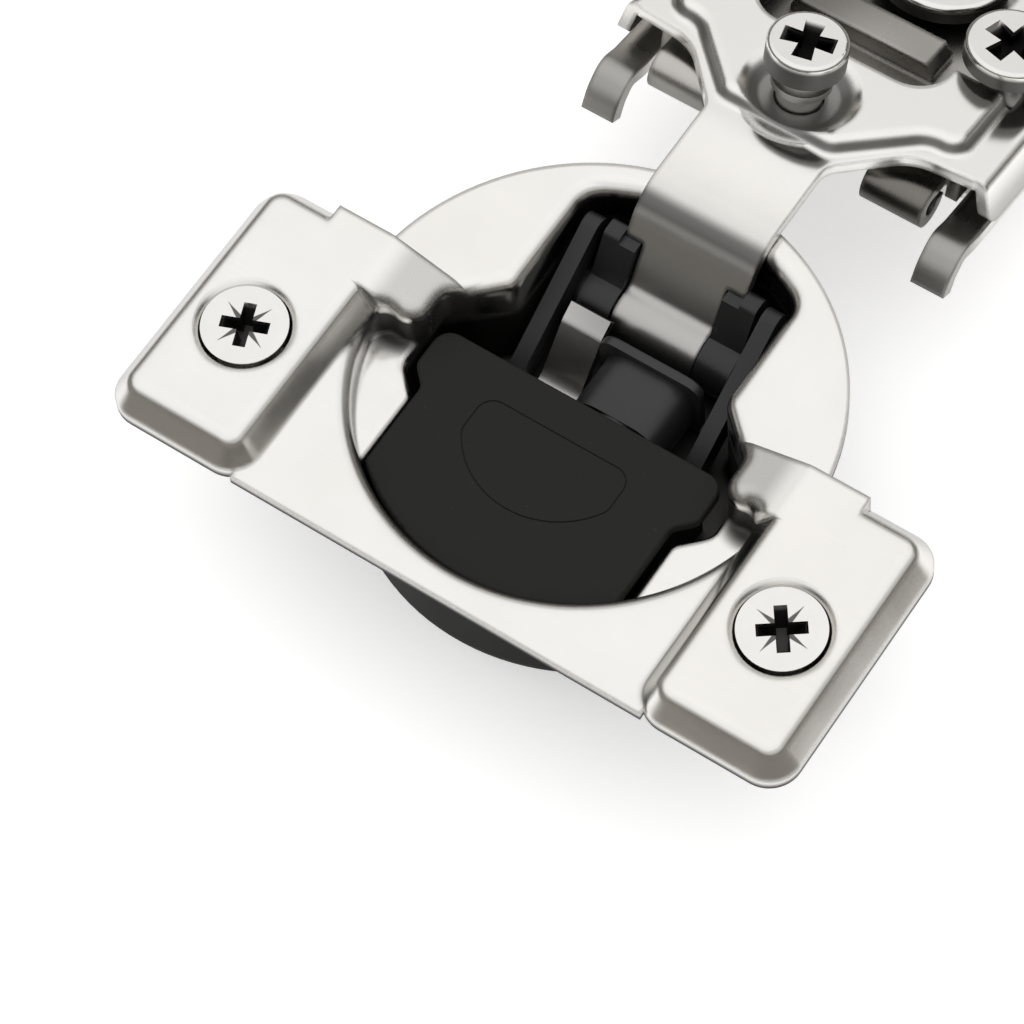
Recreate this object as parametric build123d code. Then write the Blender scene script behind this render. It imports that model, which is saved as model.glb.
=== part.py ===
"""Concealed cup hinge for face-frame cabinets, with a compact bent arm and soft close.

Millimetres. The origin is the centre of the cup at the top face of its flange.
+X runs along the two screw pads, +Y towards the arm, +Z out of the door.
The model stands open, as far as the arm goes; the door closes by turning the arm
about +X through opening_angle. The bracket behind the strap has a frame of its own:
x, then u along the plates and w off them, placed by the location named bracket.
"""
from build123d import *
from math import atan2, cos, radians, sin, sqrt, tan
import os

os.makedirs("parts", exist_ok=True)

# ---- cup and flange ---------------------------------------------------------------
cup_diameter = 35.0        # bore in the door
cup_depth = 11.3           # flange top to cup bottom
cup_sheet = 0.9            # drawn steel
bottom_radius = 0.6        # inside, between floor and wall
flange_diameter = 37.5
lip_radius = 1.2           # rolled edge of the mouth
window_half = 8.9          # narrow back part of the cup, where the pin sits
window_back = 15.7
window_start = 4.6
window_corner = 1.5
back_corner = 2.0
step_slant = 43.0          # wall between the wide and the narrow part
bulge_x = 12.7             # inner end of the walls' bulge under the necks
bulge_front = -2.6
bulge_rise = 0.2           # of its front flank, for each mm outwards
bulge_corner = 1.6
step_corner = 3.0
flank_corner = 1.2
shelf_depth = 2.9          # ledges beside the cover, below the flange
shelf_edge = 0.6
well_half = 11.0           # deep part between the ledges
well_step = -5.9
well_back_half = 13.1      # wider beside the cover's ears
well_corner = 1.2
bar_front = 19.2           # straight front edge between the pads

# ---- screw pads and their necks -----------------------------------------------------
screw_spacing = 45.0       # between the two door screws
screw_back = 9.5           # door screws in front of the cup's centre
pad_width = 12.3
pad_length = 21.6
pad_height = 2.36
pad_slant = 31.6           # walls from upright
pad_corner = 2.5
pad_edge = 1.2
pad_inner = 16.2           # foot of a pad from the hinge's middle plane
boss_draw = 0.3            # the screw seat's boss narrows by this at its foot
neck_front = -2.5
neck_back = 2.2
neck_top = 17.6            # where the neck starts to slope
neck_foot = 10.4           # where it has come down to the flange
neck_roll = 1.3            # edge towards the mouth

# ---- door screws --------------------------------------------------------------------
screw_head = 6.4
screw_shank = 3.5          # over its thread
screw_neck = 2.6           # plain stretch under the head
screw_rim = 0.2            # upright edge of the head
screw_length = 16.0
thread_start = 0.3         # below the pad's underside
screw_sink = 0.16          # head below the pad's top
screw_hole_gap = 0.15
seat_lead = 0.4            # widening of the seat's mouth
recess_width = 3.6
recess_arm = 0.95
recess_depth = 1.7
recess_taper = 0.5         # width of a recess at its foot, as a share of its mouth
recess_draft = 0.75        # and of its arms

# ---- hinge pin and sleeves ----------------------------------------------------------
pivot_y = 10.3
eye_lift = 0.8             # of the rolled eye above the cup's floor
pin_diameter = 2.5
pin_head = 3.8
pin_head_length = 0.6
pin_fit = 0.03
running = 0.05             # radial clearance of what turns
over = 1.0                 # how far a cut runs past the surface it opens
touch = 0.01               # places closer than this are one
side_play = 0.1
sleeve_outer = 3.4

# ---- arm ----------------------------------------------------------------------------
opening_angle = 103.0
arm_sheet = 1.0
strap_width = 10.2
strap_top = 1.2            # its flat stretch above the flange
strap_end = 23.2           # bend line of strap and plate
strap_knee = 15.2          # where the flat stretch turns down
knee_radius = 4.6
ankle_back = 0.695         # where it meets the eye's crest, behind the pin
ankle_radius = 0.8
eye_width = 7.2
eye_roll_end = 25.0
shoulder_z = -1.95         # below this the strap is as narrow as its eye

# ---- cams beside the eye ------------------------------------------------------------
cam_gap = 0.15
cam_width = 2.75
cam_hub = 5.0
lug_top = -1.6
lug_lean = 0.1
lug_back_height = 1.9
lug_front = 12.4
lug_back = 13.9
lug_corner = 0.6
lug_heel_back = 2.4        # behind the pin
lug_heel_rise = 0.3        # above it

# ---- cover --------------------------------------------------------------------------
cover_top = -2.0
cover_thickness = 0.9
cover_front_corner = 0.6
cover_notch_corner = 1.0
cover_back = -0.15
cover_gap = 0.4            # to the cup's wall
cover_half = 10.65
ear_reach = 1.4            # of an ear past the lid's side
ear_front = -3.75
ear_corner = 1.4
cover_edge = 0.25
badge_half = 6.2           # fine outline on the lid
badge_back = -3.25
badge_front = -10.15
badge_bow = 7.1            # radius of its front
badge_corner = 1.3
badge_line = 0.12
badge_depth = 0.1

# ---- carrier ------------------------------------------------------------------------
carrier_gap = 0.2          # to the cup's rounded bottom
carrier_inset = 0.5        # under the lid's side
carrier_back = -0.6
carrier_front_wall = -12.9
side_arm_gap = 0.5         # outside a cam
side_arm_width = 1.3
side_arm_depth = 2.2
side_arm_end_y = 12.6
side_arm_end_z = -2.55
side_arm_slope = 30.0
side_arm_foot = 2.5
side_arm_length = 22.0      # before its foot is cut off

# ---- damper -------------------------------------------------------------------------
damper_x = 1.7
damper_front = -6.2
damper_wall = 0.75
tube_step = 0.05           # of the tube inside the head
bore_end = 4.9
damper_stroke = 6.1
head_width = 7.6
head_lift = 0.45           # above the cup's floor
head_under = 1.45          # below the cover
head_flat = 0.4            # half of its upright side
head_front = 1.0
collar_front = 5.6
collar_thickness = 0.8
collar_corner = 1.2
collar_edge = 0.25
collar_width = 8.6
collar_under = 0.75        # below the cover
gland_length = 1.2
rod_diameter = 1.8
rod_seat = 0.6             # in the carrier's front wall
piston_front = -4.7
piston_length = 1.2
piston_edge = 0.15
glide_gap = 0.3            # beside what slides in the carrier

# ---- spring slider and closing spring -----------------------------------------------
slider_x = -4.6
slider_width = 3.4
slider_sheet = 0.9
slider_front = -2.5
slider_bend = 3.2          # where the tongue turns up
slider_bend_radius = 3.0
slider_tip_y = 7.8
slider_tip_rise = 5.5      # above the cup's floor
slider_tip_run = 1.2        # of its last bend before the tip
slider_tip_fall = 0.7
slider_corner = 1.0
slider_tab_rise = 4.2
slider_lift = 0.45
spring_wire = 0.5
spring_diameter = 2.8
spring_turns = 5
spring_lift = 1.0          # above the cup's floor

# ---- arm plate ----------------------------------------------------------------------
crease_radius = 8.0        # where the strap bends into the plate
plate_half = 15.4
plate_shoulder_x = 9.6
plate_shoulder_u = 5.9
plate_front = 6.4
plate_end = 37.0
neck_corner_u = 1.0
neck_corner_radius = 2.3
shoulder_radius = 4.0
wall_flare = 14.0          # side walls from upright
wall_drop = 3.85
wall_bend = 0.9
wall_corner = 1.2          # lower corners of a side wall
emboss_height = 1.2
emboss_half = 12.7
emboss_toe_half = 4.7
emboss_toe_u = 1.8
emboss_front = 7.1
emboss_end = 33.8
emboss_slant = 28.0
emboss_edge = 0.8
emboss_root = 0.6          # where its wall meets the plate
emboss_toe_corner = 1.8
emboss_bay_corner = 2.2
emboss_corner = 1.7
dimple_radius = 4.6        # round the side screw
dimple_depth = 0.9
dimple_slope = 30.0
opening_half = 8.1
opening_front = 10.4
opening_end = 31.0
opening_corner = 3.0

# ---- side screw ---------------------------------------------------------------------
side_screw_u = 5.4
side_head = 6.1
side_head_height = 2.2
side_head_top = 6.2
head_edge = 0.35
side_neck = 4.6
side_neck_end = 1.9
side_groove = 3.4
side_groove_at = 2.5
side_groove_height = 0.7
side_shank = 3.5
side_shank_end = -4.2
side_recess_width = 4.0
side_recess_arm = 1.15
side_recess_depth = 1.5
side_recess_turn = 15.0
side_recess_flare = 1.35   # of its arms towards their ends
tilt_u = 32.0
tilt_rivet = 2.0
tilt_head = 3.0
tilt_ear_inner = 13.2
tilt_ear_drop = 4.1
tilt_ear_foot = 3.0         # half its length at the plate
tilt_ear_end = 1.7
tilt_head_height = 0.5
tilt_rivet_foot = 0.3       # inside the guide

# ---- slide plate --------------------------------------------------------------------
slide_top = -2.2
slide_sheet = 1.0
slide_half = 12.9
slide_front = 7.6
slide_end = 34.4
guide_drop = 2.2
barrel_radius = 1.75
barrel_u = 5.7
barrel_inner = 6.7
barrel_outer = 11.8
tongue_corner = 2.0
guide_notch = 4.4           # half length, beside the height cam
rib_edge = 0.8
rib_crown = 0.9             # sheet over the rib
tongue_half = 3.2
tongue_front = 2.9
rib_front = 14.8
rib_length = 3.0
rib_half = 6.2
rib_top = -0.5
side_hole_gap = 0.15

# ---- depth plate and its cam --------------------------------------------------------
layer_gap = 0.3
cam_lift = 0.1             # of a cam's pin below the plate that carries it
depth_half = 11.2
depth_front = 9.2
depth_end = 35.0
depth_sheet = 1.0
depth_cam_x = 1.6
depth_cam_u = 24.2
depth_head = 10.6
depth_head_top = 0.7
depth_head_bottom = -0.9
depth_shank = 4.4
depth_pin = 2.4
depth_throw = 1.3
depth_recess_depth = 1.2
depth_recess_turn = 35.0
depth_head_edge = 0.4
depth_corner = 2.0
cam_turn = 60.0            # each way
slot_gap = 0.15

# ---- height cam ---------------------------------------------------------------------
height_cam_x = 11.0
height_cam_u = 16.9
height_head = 7.1
height_head_bottom = 1.9
height_head_height = 1.7
height_shank = 3.2
height_pin = 1.8
height_throw = 1.1
height_ear = 3.0
height_recess_width = 4.4
height_recess_arm = 1.2
height_recess_turn = 75.0
height_cam_room = 0.25     # outside its shank, in the arm plate
height_pin_gap = 0.2        # between its pin and the frame
height_recess_depth = 1.2

# ---- base plate ---------------------------------------------------------------------
base_half = 13.6
base_front = 9.0
base_end = 44.0
base_sheet = 1.2
base_corner = 3.0
hook_inner = 13.0
hook_width = 2.8
hook_rise_u = 5.2          # where the strip lifts before it turns down
hook_ramp = 0.6
hook_brow = 1.2            # from the crest back to the brow
hook_brow_fall = 2.0
hook_root_radius = 1.0
hook_crest_radius = 1.2
hook_brow_radius = 2.6
hook_crest_u = 3.9
hook_crest = -4.4
hook_tip_u = 2.2
hook_tip = -7.9
frame_hole = 4.4
frame_head = 5.6
frame_hole_x = 7.5
frame_hole_u = 39.5

# ---- worked out from the above --------------------------------------------------------
boss_radius = cup_diameter / 2
mouth_radius = boss_radius - cup_sheet
floor_z = cup_sheet - cup_depth
cup_bottom = -cup_depth
pad_centre_x = pad_inner + pad_width / 2
pad_centre_y = pad_length / 2 - bar_front
screw_x = screw_spacing / 2
screw_top = pad_height - screw_sink
pin_radius = pin_diameter / 2
bush_radius = pin_radius + running
eye_radius = bush_radius + arm_sheet
pivot_z = floor_z + eye_lift + eye_radius
wall_outer = window_half + cup_sheet
cam_inner = eye_width / 2 + cam_gap
cam_outer = cam_inner + cam_width
sleeve_inner = cam_outer + side_play
cover_bottom = cover_top - cover_thickness
cover_radius = mouth_radius - cover_gap
ear_half = cover_half + ear_reach
carrier_radius = mouth_radius - bottom_radius - carrier_gap
carrier_half = cover_half - carrier_inset
side_arm_inner = cam_outer + side_arm_gap
head_bottom = floor_z + head_lift
head_top = cover_bottom - head_under
head_height = head_top - head_bottom
damper_z = (head_top + head_bottom) / 2
damper_radius = head_height / 2 - tube_step
bore_radius = damper_radius - damper_wall
slider_tip_z = floor_z + slider_tip_rise
slider_tab_top = floor_z + slider_tab_rise
spring_z = floor_z + spring_lift + spring_diameter / 2
collar_back = collar_front + collar_thickness
collar_top = cover_bottom - collar_under
tilt = opening_angle - 90
slide_bottom = slide_top - slide_sheet
depth_top = slide_bottom - layer_gap
depth_bottom = depth_top - depth_sheet
base_top = depth_bottom - layer_gap
base_bottom = base_top - base_sheet
cut_low = base_bottom - over
tilt_w = slide_top - slide_sheet / 2
depth_travel = depth_throw * sin(radians(cam_turn))
bracket = Location((0, strap_end, strap_top), (-tilt, 0, 0))


def both(shape):
    """A shape and its mirror image across the hinge's middle plane."""
    return shape + mirror(shape, about=Plane.YZ)


def slab(face, low, high):
    """A flat outline made solid between two heights."""
    return Pos(0, 0, low) * extrude(face, amount=high - low)


def block(x0, x1, y0, y1, z0, z1):
    """A box between its two corners."""
    return Pos((x0 + x1) / 2, (y0 + y1) / 2, (z0 + z1) / 2) * Box(x1 - x0, y1 - y0, z1 - z0)


def across(face, x0, x1):
    """A side view outline made solid along X, from x0 to x1."""
    return extrude(Plane.YZ.offset(x0) * face, amount=x1 - x0)


def bar_x(radius, x0, x1, y, z):
    """A round bar along X."""
    return across(Pos(y, z) * Circle(radius), x0, x1)


def bar_y(radius, y0, y1, x, z):
    """A round bar along Y."""
    return Pos(x, (y0 + y1) / 2, z) * Rot(90, 0, 0) * Cylinder(radius, y1 - y0)


def bar_z(radius, z0, z1, x, y):
    """A round bar along Z."""
    return Pos(x, y, (z0 + z1) / 2) * Cylinder(radius, z1 - z0)


def rounded(face, corners):
    """Round an outline's corners: each entry is (x, y, radius), done on both sides."""
    for x, y, radius in corners:
        near = [v for v in face.vertices() if abs(abs(v.X) - x) < touch and abs(v.Y - y) < touch]
        face = fillet(near, radius)
    return face


def mirrored_outline(half):
    """A closed outline from its right half, listed from front to back."""
    left = [(-x, y) for x, y in reversed(half)]
    return make_face(Polyline(*half, *left, close=True))


def cross_recess(width, arm, depth, flare=1.0):
    """The tapered cross that a driver fits, cut down from z = 0; its arms may widen outwards."""
    half, waist = width / 2, arm / 2
    quarter = [(half, -waist * flare), (half, waist * flare), (0, waist)]
    plan = make_face(Polyline(*quarter, *[(-x, -y) for x, y in quarter], close=True))
    foot = scale(plan, by=(recess_taper, recess_draft, 1))
    wing = loft([plan, Pos(0, 0, -depth) * foot], ruled=True)
    return wing + Rot(0, 0, 90) * wing


def in_bracket(shape):
    """Place a piece of the bracket."""
    return bracket * shape


# ---- cup ------------------------------------------------------------------------------
def mouth_plan(bulged):
    """Inside of the cup from above: a wide round front and a narrow back, with or without the bulges."""
    beyond = 2 * mouth_radius
    step_rise = -tan(radians(step_slant))
    back_x = sqrt(mouth_radius**2 - window_back**2)
    back_y = sqrt(mouth_radius**2 - window_half**2)
    corners = [(back_x, window_back, back_corner), (window_half, back_y, back_corner),
               (window_half, window_start, window_corner)]
    half = [(window_half, window_start), (window_half, window_back)]
    if bulged:
        bulge_back = window_start + (bulge_x - window_half) * step_rise
        flank_far = bulge_front + (beyond - bulge_x) * bulge_rise
        half = [(beyond, flank_far), (bulge_x, bulge_front), (bulge_x, bulge_back)] + half
        corners += [(bulge_x, bulge_back, bulge_corner), (bulge_x, bulge_front, bulge_corner),
                    (*meets_wall(bulge_x, bulge_front, bulge_rise), flank_corner)]
    else:
        half = [(beyond, window_start + (beyond - window_half) * step_rise)] + half
        corners += [(*meets_wall(window_half, window_start, step_rise), step_corner)]
    plan = mirrored_outline([(beyond, -beyond)] + half) & Circle(mouth_radius)
    return rounded(plan, corners)


def meets_wall(x, y, rise):
    """Where a line from (x, y) outwards, with that rise, reaches the round wall."""
    square = 1 + rise**2
    half_b = x + y * rise
    rest = x**2 + y**2 - mouth_radius**2
    run = (sqrt(half_b**2 - square * rest) - half_b) / square
    return x + run, y + run * rise


def well_plan(mouth):
    """The deep part between the ledges that lie beside the cover."""
    beyond = 2 * mouth_radius
    back = well_step + well_back_half - well_half
    half = [(well_half, -beyond), (well_half, well_step), (well_back_half, back), (well_back_half, beyond)]
    return rounded(mirrored_outline(half) & mouth, [
        (well_half, well_step, well_corner), (well_back_half, back, well_corner)])


def pad(inset, top, bottom, edge):
    """A screw pad's block, or with an inset the hollow under it."""
    foot = RectangleRounded(pad_width - 2 * inset, pad_length - 2 * inset, pad_corner - inset)
    shape = extrude(foot, amount=top, taper=pad_slant)
    if edge > 0:
        shape = fillet(shape.faces().sort_by(Axis.Z)[-1].edges(), edge)
    shape += slab(foot, bottom, 0)
    return Pos(pad_centre_x, pad_centre_y, 0) * shape


def neck(plan, inset):
    """The ridge from a pad to the mouth, or with an inset the hollow under it."""
    slope = atan2(pad_height, neck_top - neck_foot)
    drop = inset / cos(slope)
    low = inset - shelf_depth
    side = make_face(Polyline(
        (pad_centre_x, -cup_sheet), (pad_centre_x, pad_height - inset), (neck_top, pad_height - inset),
        (neck_foot - drop / tan(slope), -drop), (neck_foot, low), (mouth_radius, low),
        (mouth_radius, -cup_sheet), close=True))
    length = neck_back - neck_front - 2 * inset
    ridge = extrude(Plane.XZ.offset(inset - neck_back) * side, amount=length)
    ridge -= slab(plan, -cup_depth, pad_height + over)
    if inset == 0:
        ridge = fillet([e for e in ridge.edges() if is_neck_roll(e)], neck_roll)
    return ridge


def is_neck_roll(edge):
    """True for the top edge of a neck where it turns down into the mouth."""
    middle = edge.position_at(0.5)
    size = edge.bounding_box().size
    inside = neck_front + 0.05 < middle.Y < neck_back - 0.05
    crossing = size.Y > touch and size.X + size.Y > 4 * size.Z
    return inside and crossing and middle.X < neck_top - 0.1 and middle.Z > -cup_sheet / 2


def is_rim(edge):
    """True for the edges of the mouth at the flange's top."""
    middle = edge.position_at(0.5)
    level = edge.bounding_box().size.Z < touch and abs(middle.Z) < touch
    return level and sqrt(middle.X**2 + middle.Y**2) < mouth_radius + 0.1


def is_ledge(edge):
    """True for the inner edges of the ledges beside the cover's ears."""
    middle = edge.center()
    level = edge.bounding_box().size.Z < touch and abs(middle.Z + shelf_depth) < touch
    return level and abs(middle.X) < well_back_half + 0.1 and middle.Y < bulge_front


def make_cup():
    """The drawn steel cup with its flange, raised pads and necks, all one sheet."""
    mouth = mouth_plan(True)
    below = mouth_plan(False)
    wall = offset(below, cup_sheet)
    flange = Circle(flange_diameter / 2)
    flange += Pos(0, (neck_back - bar_front) / 2) * Rectangle(
        2 * (pad_inner + over), bar_front + neck_back)
    bowl = slab(wall, cup_bottom, 0)
    bowl = fillet(bowl.edges().group_by(Axis.Z)[0], bottom_radius + cup_sheet)
    inside = slab(well_plan(below), floor_z, -shelf_depth)
    inside = fillet(inside.edges().group_by(Axis.Z)[0], bottom_radius)
    inside += slab(mouth, -shelf_depth, pad_height + over)
    cup = slab(flange, -cup_sheet, 0) + bowl - inside
    cup = fillet([e for e in cup.edges() if is_rim(e)], lip_radius)
    cup = fillet([e for e in cup.edges() if is_ledge(e)], shelf_edge)
    cup += both(pad(0, pad_height, -cup_sheet, pad_edge)) + both(neck(mouth, 0))
    inset = cup_sheet / cos(radians(pad_slant))
    hollow = pad(inset, pad_height - cup_sheet, -cup_sheet, 0)
    cup -= both(hollow) + both(neck(offset(mouth, cup_sheet), cup_sheet))
    seat_radius = screw_head / 2 + screw_sink + seat_lead
    seat_low = seat_radius - (screw_shank / 2 + screw_hole_gap)
    boss = Cone(seat_radius - boss_draw, seat_radius + cup_sheet, seat_low)
    cut = Cone(seat_radius - seat_low, seat_radius, seat_low)
    for side in (-1, 1):
        place = Pos(side * screw_x, -screw_back, pad_height - seat_low / 2)
        cup += Pos(0, 0, -cup_sheet) * place * boss
        cup -= place * cut
        cup -= bar_z(seat_radius - seat_low, -cup_depth, pad_height, side * screw_x, -screw_back)
    cup -= bar_x(pin_radius + pin_fit, -wall_outer - over, wall_outer + over, pivot_y, pivot_z)
    return cup


def make_door_screw(side):
    """Countersunk wood screw of a pad: a plain neck, a thicker thread and a point."""
    head, neck_radius, thread = screw_head / 2, screw_neck / 2, screw_shank / 2
    rim_z = screw_top - screw_rim
    thread_z = -cup_sheet - thread_start
    tip_z = screw_top - screw_length
    outline = make_face(Polyline(
        (0, screw_top), (head, screw_top), (head, rim_z), (neck_radius, rim_z - head + neck_radius),
        (neck_radius, thread_z), (thread, thread_z - thread + neck_radius),
        (thread, tip_z + screw_shank), (0, tip_z), close=True))
    screw = revolve(Plane.XZ * outline, Axis.Z)
    screw -= Pos(0, 0, screw_top) * cross_recess(recess_width, recess_arm, recess_depth)
    return Pos(side * screw_x, -screw_back, 0) * screw


# ---- hinge pin --------------------------------------------------------------------------
def make_pin():
    """Pin through both narrow walls, headed outside them."""
    pin = bar_x(pin_radius, -wall_outer - running, wall_outer + running, pivot_y, pivot_z)
    head = wall_outer + running
    return pin + both(bar_x(pin_head / 2, head, head + pin_head_length, pivot_y, pivot_z))


def make_sleeve(side):
    """Plastic sleeve between a cam and the cup's wall."""
    inner, outer = sleeve_inner, window_half - side_play
    sleeve = bar_x(sleeve_outer / 2, inner, outer, pivot_y, pivot_z)
    sleeve -= bar_x(pin_radius, inner, outer, pivot_y, pivot_z)
    return sleeve if side > 0 else mirror(sleeve, about=Plane.YZ)


# ---- arm ----------------------------------------------------------------------------------
def strap_profile():
    """Side view of strap and rolled eye: one sheet below and behind its outer line."""
    crest_z = pivot_z + eye_radius
    ankle_y = pivot_y + ankle_back
    half_turn = atan2(strap_top - crest_z, strap_knee - ankle_y) / 2
    line = FilletPolyline(
        (strap_end, strap_top), (strap_knee, strap_top), (ankle_y, crest_z), (pivot_y, crest_z),
        radius=[knee_radius, ankle_radius])
    middle = (pivot_y, pivot_z)
    roll = CenterArc(middle, eye_radius, 90, 270 + eye_roll_end)
    inner_crest = crest_z - arm_sheet
    knee_in = (strap_knee + arm_sheet * tan(half_turn), strap_top - arm_sheet)
    ankle_in = (ankle_y + arm_sheet * tan(half_turn), inner_crest)
    inner_roll = CenterArc(middle, eye_radius - arm_sheet, 90, 270 + eye_roll_end)
    inner = FilletPolyline(
        (strap_end, strap_top - arm_sheet), knee_in, ankle_in, (pivot_y, inner_crest),
        radius=[knee_radius - arm_sheet, ankle_radius + arm_sheet])
    start = Line((strap_end, strap_top), (strap_end, strap_top - arm_sheet))
    end = Line(roll @ 1, inner_roll @ 1)
    return make_face(Wire([*line.edges(), *roll.edges(), *end.edges(), *inner_roll.edges(),
                           *inner.edges(), *start.edges()]))


def make_strap():
    """The strap, as wide as the plate's front above the shoulder and as its eye below."""
    side = strap_profile()
    half, eye_half = strap_width / 2, eye_width / 2
    strap = across(side, -half, half)
    front = pivot_y - eye_radius - over
    low = pivot_z - eye_radius - over
    for turn in (-1, 1):
        x0, x1 = sorted((turn * eye_half, turn * (half + over)))
        strap -= block(x0, x1, front, strap_end - over, low, shoulder_z)
    return strap


def plate_outline():
    """Arm plate from above its face, with shoulders that spread from the strap."""
    half = [(strap_width / 2, 0), (strap_width / 2, neck_corner_u), (plate_shoulder_x, plate_shoulder_u),
            (plate_half, plate_front), (plate_half, plate_end)]
    return rounded(mirrored_outline(half), [
        (strap_width / 2, neck_corner_u, neck_corner_radius),
        (plate_shoulder_x, plate_shoulder_u, shoulder_radius),
    ])


def emboss(sheet):
    """The raised field of the arm plate, or with a sheet thickness the hollow under it."""
    slant = radians(emboss_slant)
    inset = sheet / cos(slant) - sheet * tan(slant)
    toe_back_x = emboss_toe_half + emboss_front - emboss_toe_u
    half = [(emboss_toe_half, emboss_toe_u), (toe_back_x, emboss_front),
            (emboss_half, emboss_front), (emboss_half, emboss_end)]
    plan = rounded(mirrored_outline(half), [
        (emboss_toe_half, emboss_toe_u, emboss_toe_corner), (toe_back_x, emboss_front, emboss_bay_corner),
        (emboss_half, emboss_front, emboss_corner), (emboss_half, emboss_end, emboss_corner)])
    foot = offset(plan, -inset) if sheet > 0 else plan
    crown = offset(plan, -inset - emboss_height * tan(slant))
    field = loft([foot.face(), (Pos(0, 0, emboss_height) * crown).face()], ruled=True)
    if sheet == 0:
        field = fillet(field.faces().sort_by(Axis.Z)[-1].edges(), emboss_edge)
    return Pos(0, 0, -sheet) * field


def make_side_wall():
    """Right side wall of the arm plate, bent down and leaning out."""
    lean = tan(radians(wall_flare))
    across_sheet = arm_sheet / cos(radians(wall_flare))
    foot_x = plate_half + wall_drop * lean
    inner_x = plate_half - wall_bend - arm_sheet
    outline = make_face(Polyline(
        (inner_x, 0), (plate_half, 0), (foot_x, -wall_drop), (foot_x - across_sheet, -wall_drop),
        (plate_half + arm_sheet * lean - across_sheet, -arm_sheet), (inner_x, -arm_sheet), close=True))
    wall = extrude(Plane.XZ.offset(-plate_end) * outline, amount=plate_end - plate_front)
    bend = [e for e in wall.edges() if abs(e.center().X - plate_half) < touch and abs(e.center().Z) < touch]
    wall = fillet(bend, wall_bend)
    return fillet(wall.edges().group_by(Axis.Z)[0].filter_by(Axis.X), wall_corner)


def make_arm():
    """Rolled eye, strap, embossed plate and side walls, all one sheet of steel."""
    plate = slab(plate_outline(), -arm_sheet, 0) + emboss(0)
    face = [f for f in plate.faces().filter_by(Plane.XY) if abs(f.center().Z) < touch][0]
    plate = fillet(face.inner_wires()[0].edges(), emboss_root)
    plate -= both(block(
        plate_half - wall_bend, plate_half + over, plate_front - over, plate_end + over,
        -2 * arm_sheet, over))
    plate = plate + both(make_side_wall()) - emboss(arm_sheet)
    above = emboss_height + over
    plate -= slab(opening_plan(), -2 * arm_sheet, above)
    floor = emboss_height - dimple_depth
    foot = dimple_radius - dimple_depth / tan(radians(dimple_slope))
    middle = Pos(0, side_screw_u, (emboss_height + floor) / 2)
    plate += Pos(0, 0, -arm_sheet) * middle * Cone(foot, dimple_radius, dimple_depth)
    plate -= middle * Cone(foot, dimple_radius, dimple_depth)
    plate -= bar_z(side_shank / 2 + side_hole_gap, -2 * arm_sheet, above, 0, side_screw_u)
    travel = height_shank / 2 + depth_travel + slot_gap
    room = height_shank / 2 + slot_gap + height_cam_room
    plate -= block(
        opening_half - over, height_cam_x + room, height_cam_u - travel, height_cam_u + travel,
        -2 * arm_sheet, above)
    ear = make_face(Polyline(
        (tilt_u - tilt_ear_foot, 0), (tilt_u + tilt_ear_foot, 0),
        (tilt_u + tilt_ear_end, -tilt_ear_drop), (tilt_u - tilt_ear_end, -tilt_ear_drop), close=True))
    ear = across(ear, tilt_ear_inner, tilt_ear_inner + arm_sheet)
    ear -= bar_x(tilt_rivet / 2 + running, 0, plate_half + over, tilt_u, tilt_w)
    ear -= block(0, plate_half + over, 0, plate_end, -arm_sheet / 2, over)
    plate += both(ear)
    arm = make_strap() + in_bracket(plate)
    crease = [e for e in arm.edges() if is_crease(e)]
    return fillet(crease, crease_radius)


def is_crease(edge):
    """True for the line where the strap's top bends into the plate."""
    middle = edge.center()
    across_strap = edge.bounding_box().size.X > strap_width - over
    return across_strap and abs(middle.Y - strap_end) < touch and abs(middle.Z - strap_top) < touch


def opening_plan():
    """The opening of the arm plate over the adjusting cams."""
    middle = (opening_front + opening_end) / 2
    return Pos(0, middle) * RectangleRounded(2 * opening_half, opening_end - opening_front, opening_corner)


def make_cam(side):
    """Plastic cam beside the eye: a hub on the pin and a lug that fills the corner under the strap."""
    heel = (pivot_y + lug_heel_back, pivot_z + lug_heel_rise)
    lug = make_face(Polyline(
        (pivot_y, pivot_z + eye_radius), (lug_front, lug_top), (lug_back, lug_top),
        (lug_back + lug_lean, lug_top - lug_back_height), heel, (pivot_y, pivot_z), close=True))
    tips = [v for v in lug.vertices() if v.Y > lug_top - touch]
    shape = fillet(tips, lug_corner) + Pos(pivot_y, pivot_z) * Circle(cam_hub / 2)
    cam = across(shape, cam_inner, cam_outer)
    cam -= bar_x(bush_radius, 0, cam_outer + over, pivot_y, pivot_z)
    half = strap_width / 2 + running
    cam -= block(-half, half, 0, strap_end, shoulder_z - running, pad_height)
    return cam if side > 0 else mirror(cam, about=Plane.YZ)


# ---- cover and carrier --------------------------------------------------------------------
def make_cover():
    """Flat lid with two ears at its back."""
    side_y = -sqrt(cover_radius**2 - cover_half**2)
    slope = ear_front - (ear_half - cover_half)
    half = [(cover_half, -cover_radius - over), (cover_half, slope), (ear_half, ear_front),
            (ear_half, cover_back)]
    plan = mirrored_outline(half) & Circle(cover_radius)
    plan = rounded(plan, [
        (cover_half, side_y, cover_front_corner), (cover_half, slope, cover_notch_corner),
        (ear_half, ear_front, cover_notch_corner), (ear_half, cover_back, ear_corner)])
    lid = slab(plan, cover_bottom, cover_top)
    lid = fillet(lid.edges().group_by(Axis.Z)[-1], cover_edge)
    badge = badge_plan()
    line = offset(badge, badge_line / 2) - offset(badge, -badge_line / 2)
    return lid - slab(line, cover_top - badge_depth, cover_top + over)


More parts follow.
